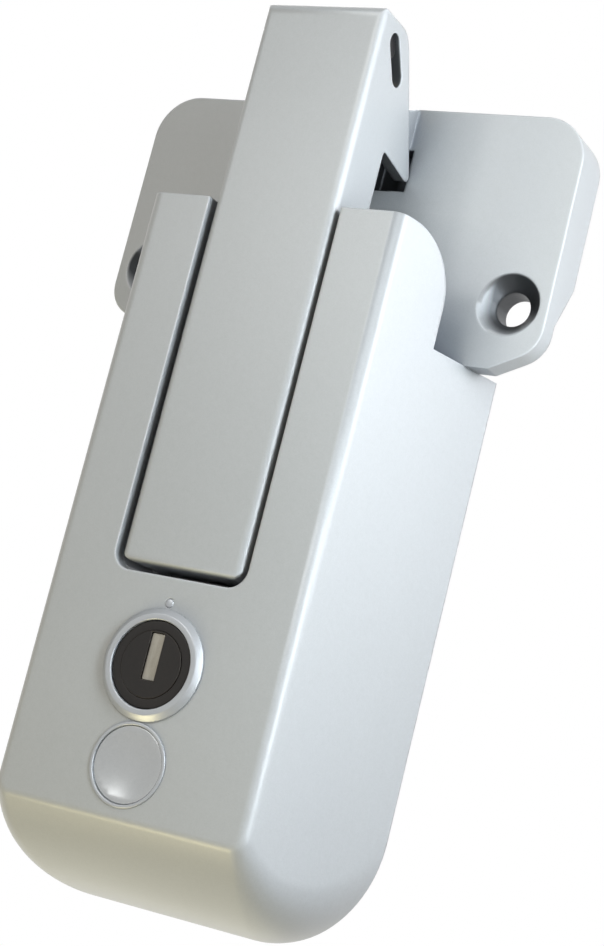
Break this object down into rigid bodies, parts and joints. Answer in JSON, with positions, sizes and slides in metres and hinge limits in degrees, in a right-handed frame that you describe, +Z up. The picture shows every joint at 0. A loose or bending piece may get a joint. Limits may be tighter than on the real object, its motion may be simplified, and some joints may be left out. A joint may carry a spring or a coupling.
{
  "type": "bar lock",
  "caption": "Surface-mounted bar lock: winged cast body with a bar cradle, a flush bar lever with a wedge nose, a key cylinder and a push button.",
  "frame": {"origin": "middle of the two-screw pattern, on the back of the screw tabs, 5.5 mm in front of the mounting plane", "axes": "+X to the user's right, +Y into the wall, +Z up along the lever; the front face looks along -Y"},
  "size_m": [0.1012, 0.0383, 0.1825],
  "materials": {
    "silver_paint": "satin silver-grey powder paint on a casting",
    "back_plate": "plain grey coated lid",
    "steel": "zinc-plated steel",
    "dark_steel": "blackened steel",
    "bright_ring": "satin bright metal",
    "black_cylinder": "black-coated lock cylinder",
    "shutter_steel": "dull nickel strip",
    "brass": "plain turned or stamped brass",
    "rubber": "matt black rubber",
    "button_paint": "satin silver paint, dished face"
  },
  "bodies": {
    "housing": {"housing": "silver_paint", "wing_plate": "silver_paint", "pivot_lug": "silver_paint", "lever_channel": "silver_paint", "back_cover": "back_plate", "cover_screws": "steel", "lever_pads": "rubber", "escutcheon_ring": "bright_ring", "cylinder_body": "black_cylinder", "cylinder_nut": "steel", "index_pin": "bright_ring", "button_bezel": "bright_ring", "button_spring": "steel", "button_bracket": "steel", "bracket_screws": "steel", "ejector_straps": "steel", "strap_screws": "steel"},
    "pivot": {"pivot_pin": "steel", "slide_shoes": "dark_steel", "pivot_sleeves": "brass"},
    "lever": {"lever": "silver_paint", "lock_hook": "steel", "hook_screws": "steel"},
    "plug": {"lock_plug": "black_cylinder", "keyway_shutter": "shutter_steel", "lock_wafers": "brass", "lock_cam": "steel", "cam_screw": "steel"},
    "button": {"push_button": "button_paint"},
    "ejector": {"ejector": "dark_steel"}
  },
  "joints": [
    {"name": "lever_swing", "type": "hinge", "parent": "housing", "child": "pivot", "pos_m": [0, -0.0244, 0.04505], "axis": [-1, 0, 0], "range_deg": [0, 80]},
    {"name": "lever_pop", "type": "slide", "parent": "pivot", "child": "lever", "axis": [0, -0.6157, 0.788], "range_m": [0, 0.005]},
    {"name": "button_press", "type": "slide", "parent": "housing", "child": "button", "axis": [0, 1, 0], "range_m": [0, 0.00396], "stiffness_N_per_m": 150, "springref_m": -0.002, "deforming": ["button_spring"]},
    {"name": "ejector_rise", "type": "slide", "parent": "housing", "child": "ejector", "axis": [0, 0, 1], "range_m": [0, 0.00396]},
    {"name": "plug_turn", "type": "hinge", "parent": "housing", "child": "plug", "pos_m": [0, -0.0315, -0.0861], "axis": [0, -1, 0], "range_deg": [0, 90]}
  ],
  "couplings": [
    {"joint": "button_press", "follows": "lever_pop", "ratio": 0.78801},
    {"joint": "ejector_rise", "follows": "lever_pop", "ratio": 0.78801}
  ]
}
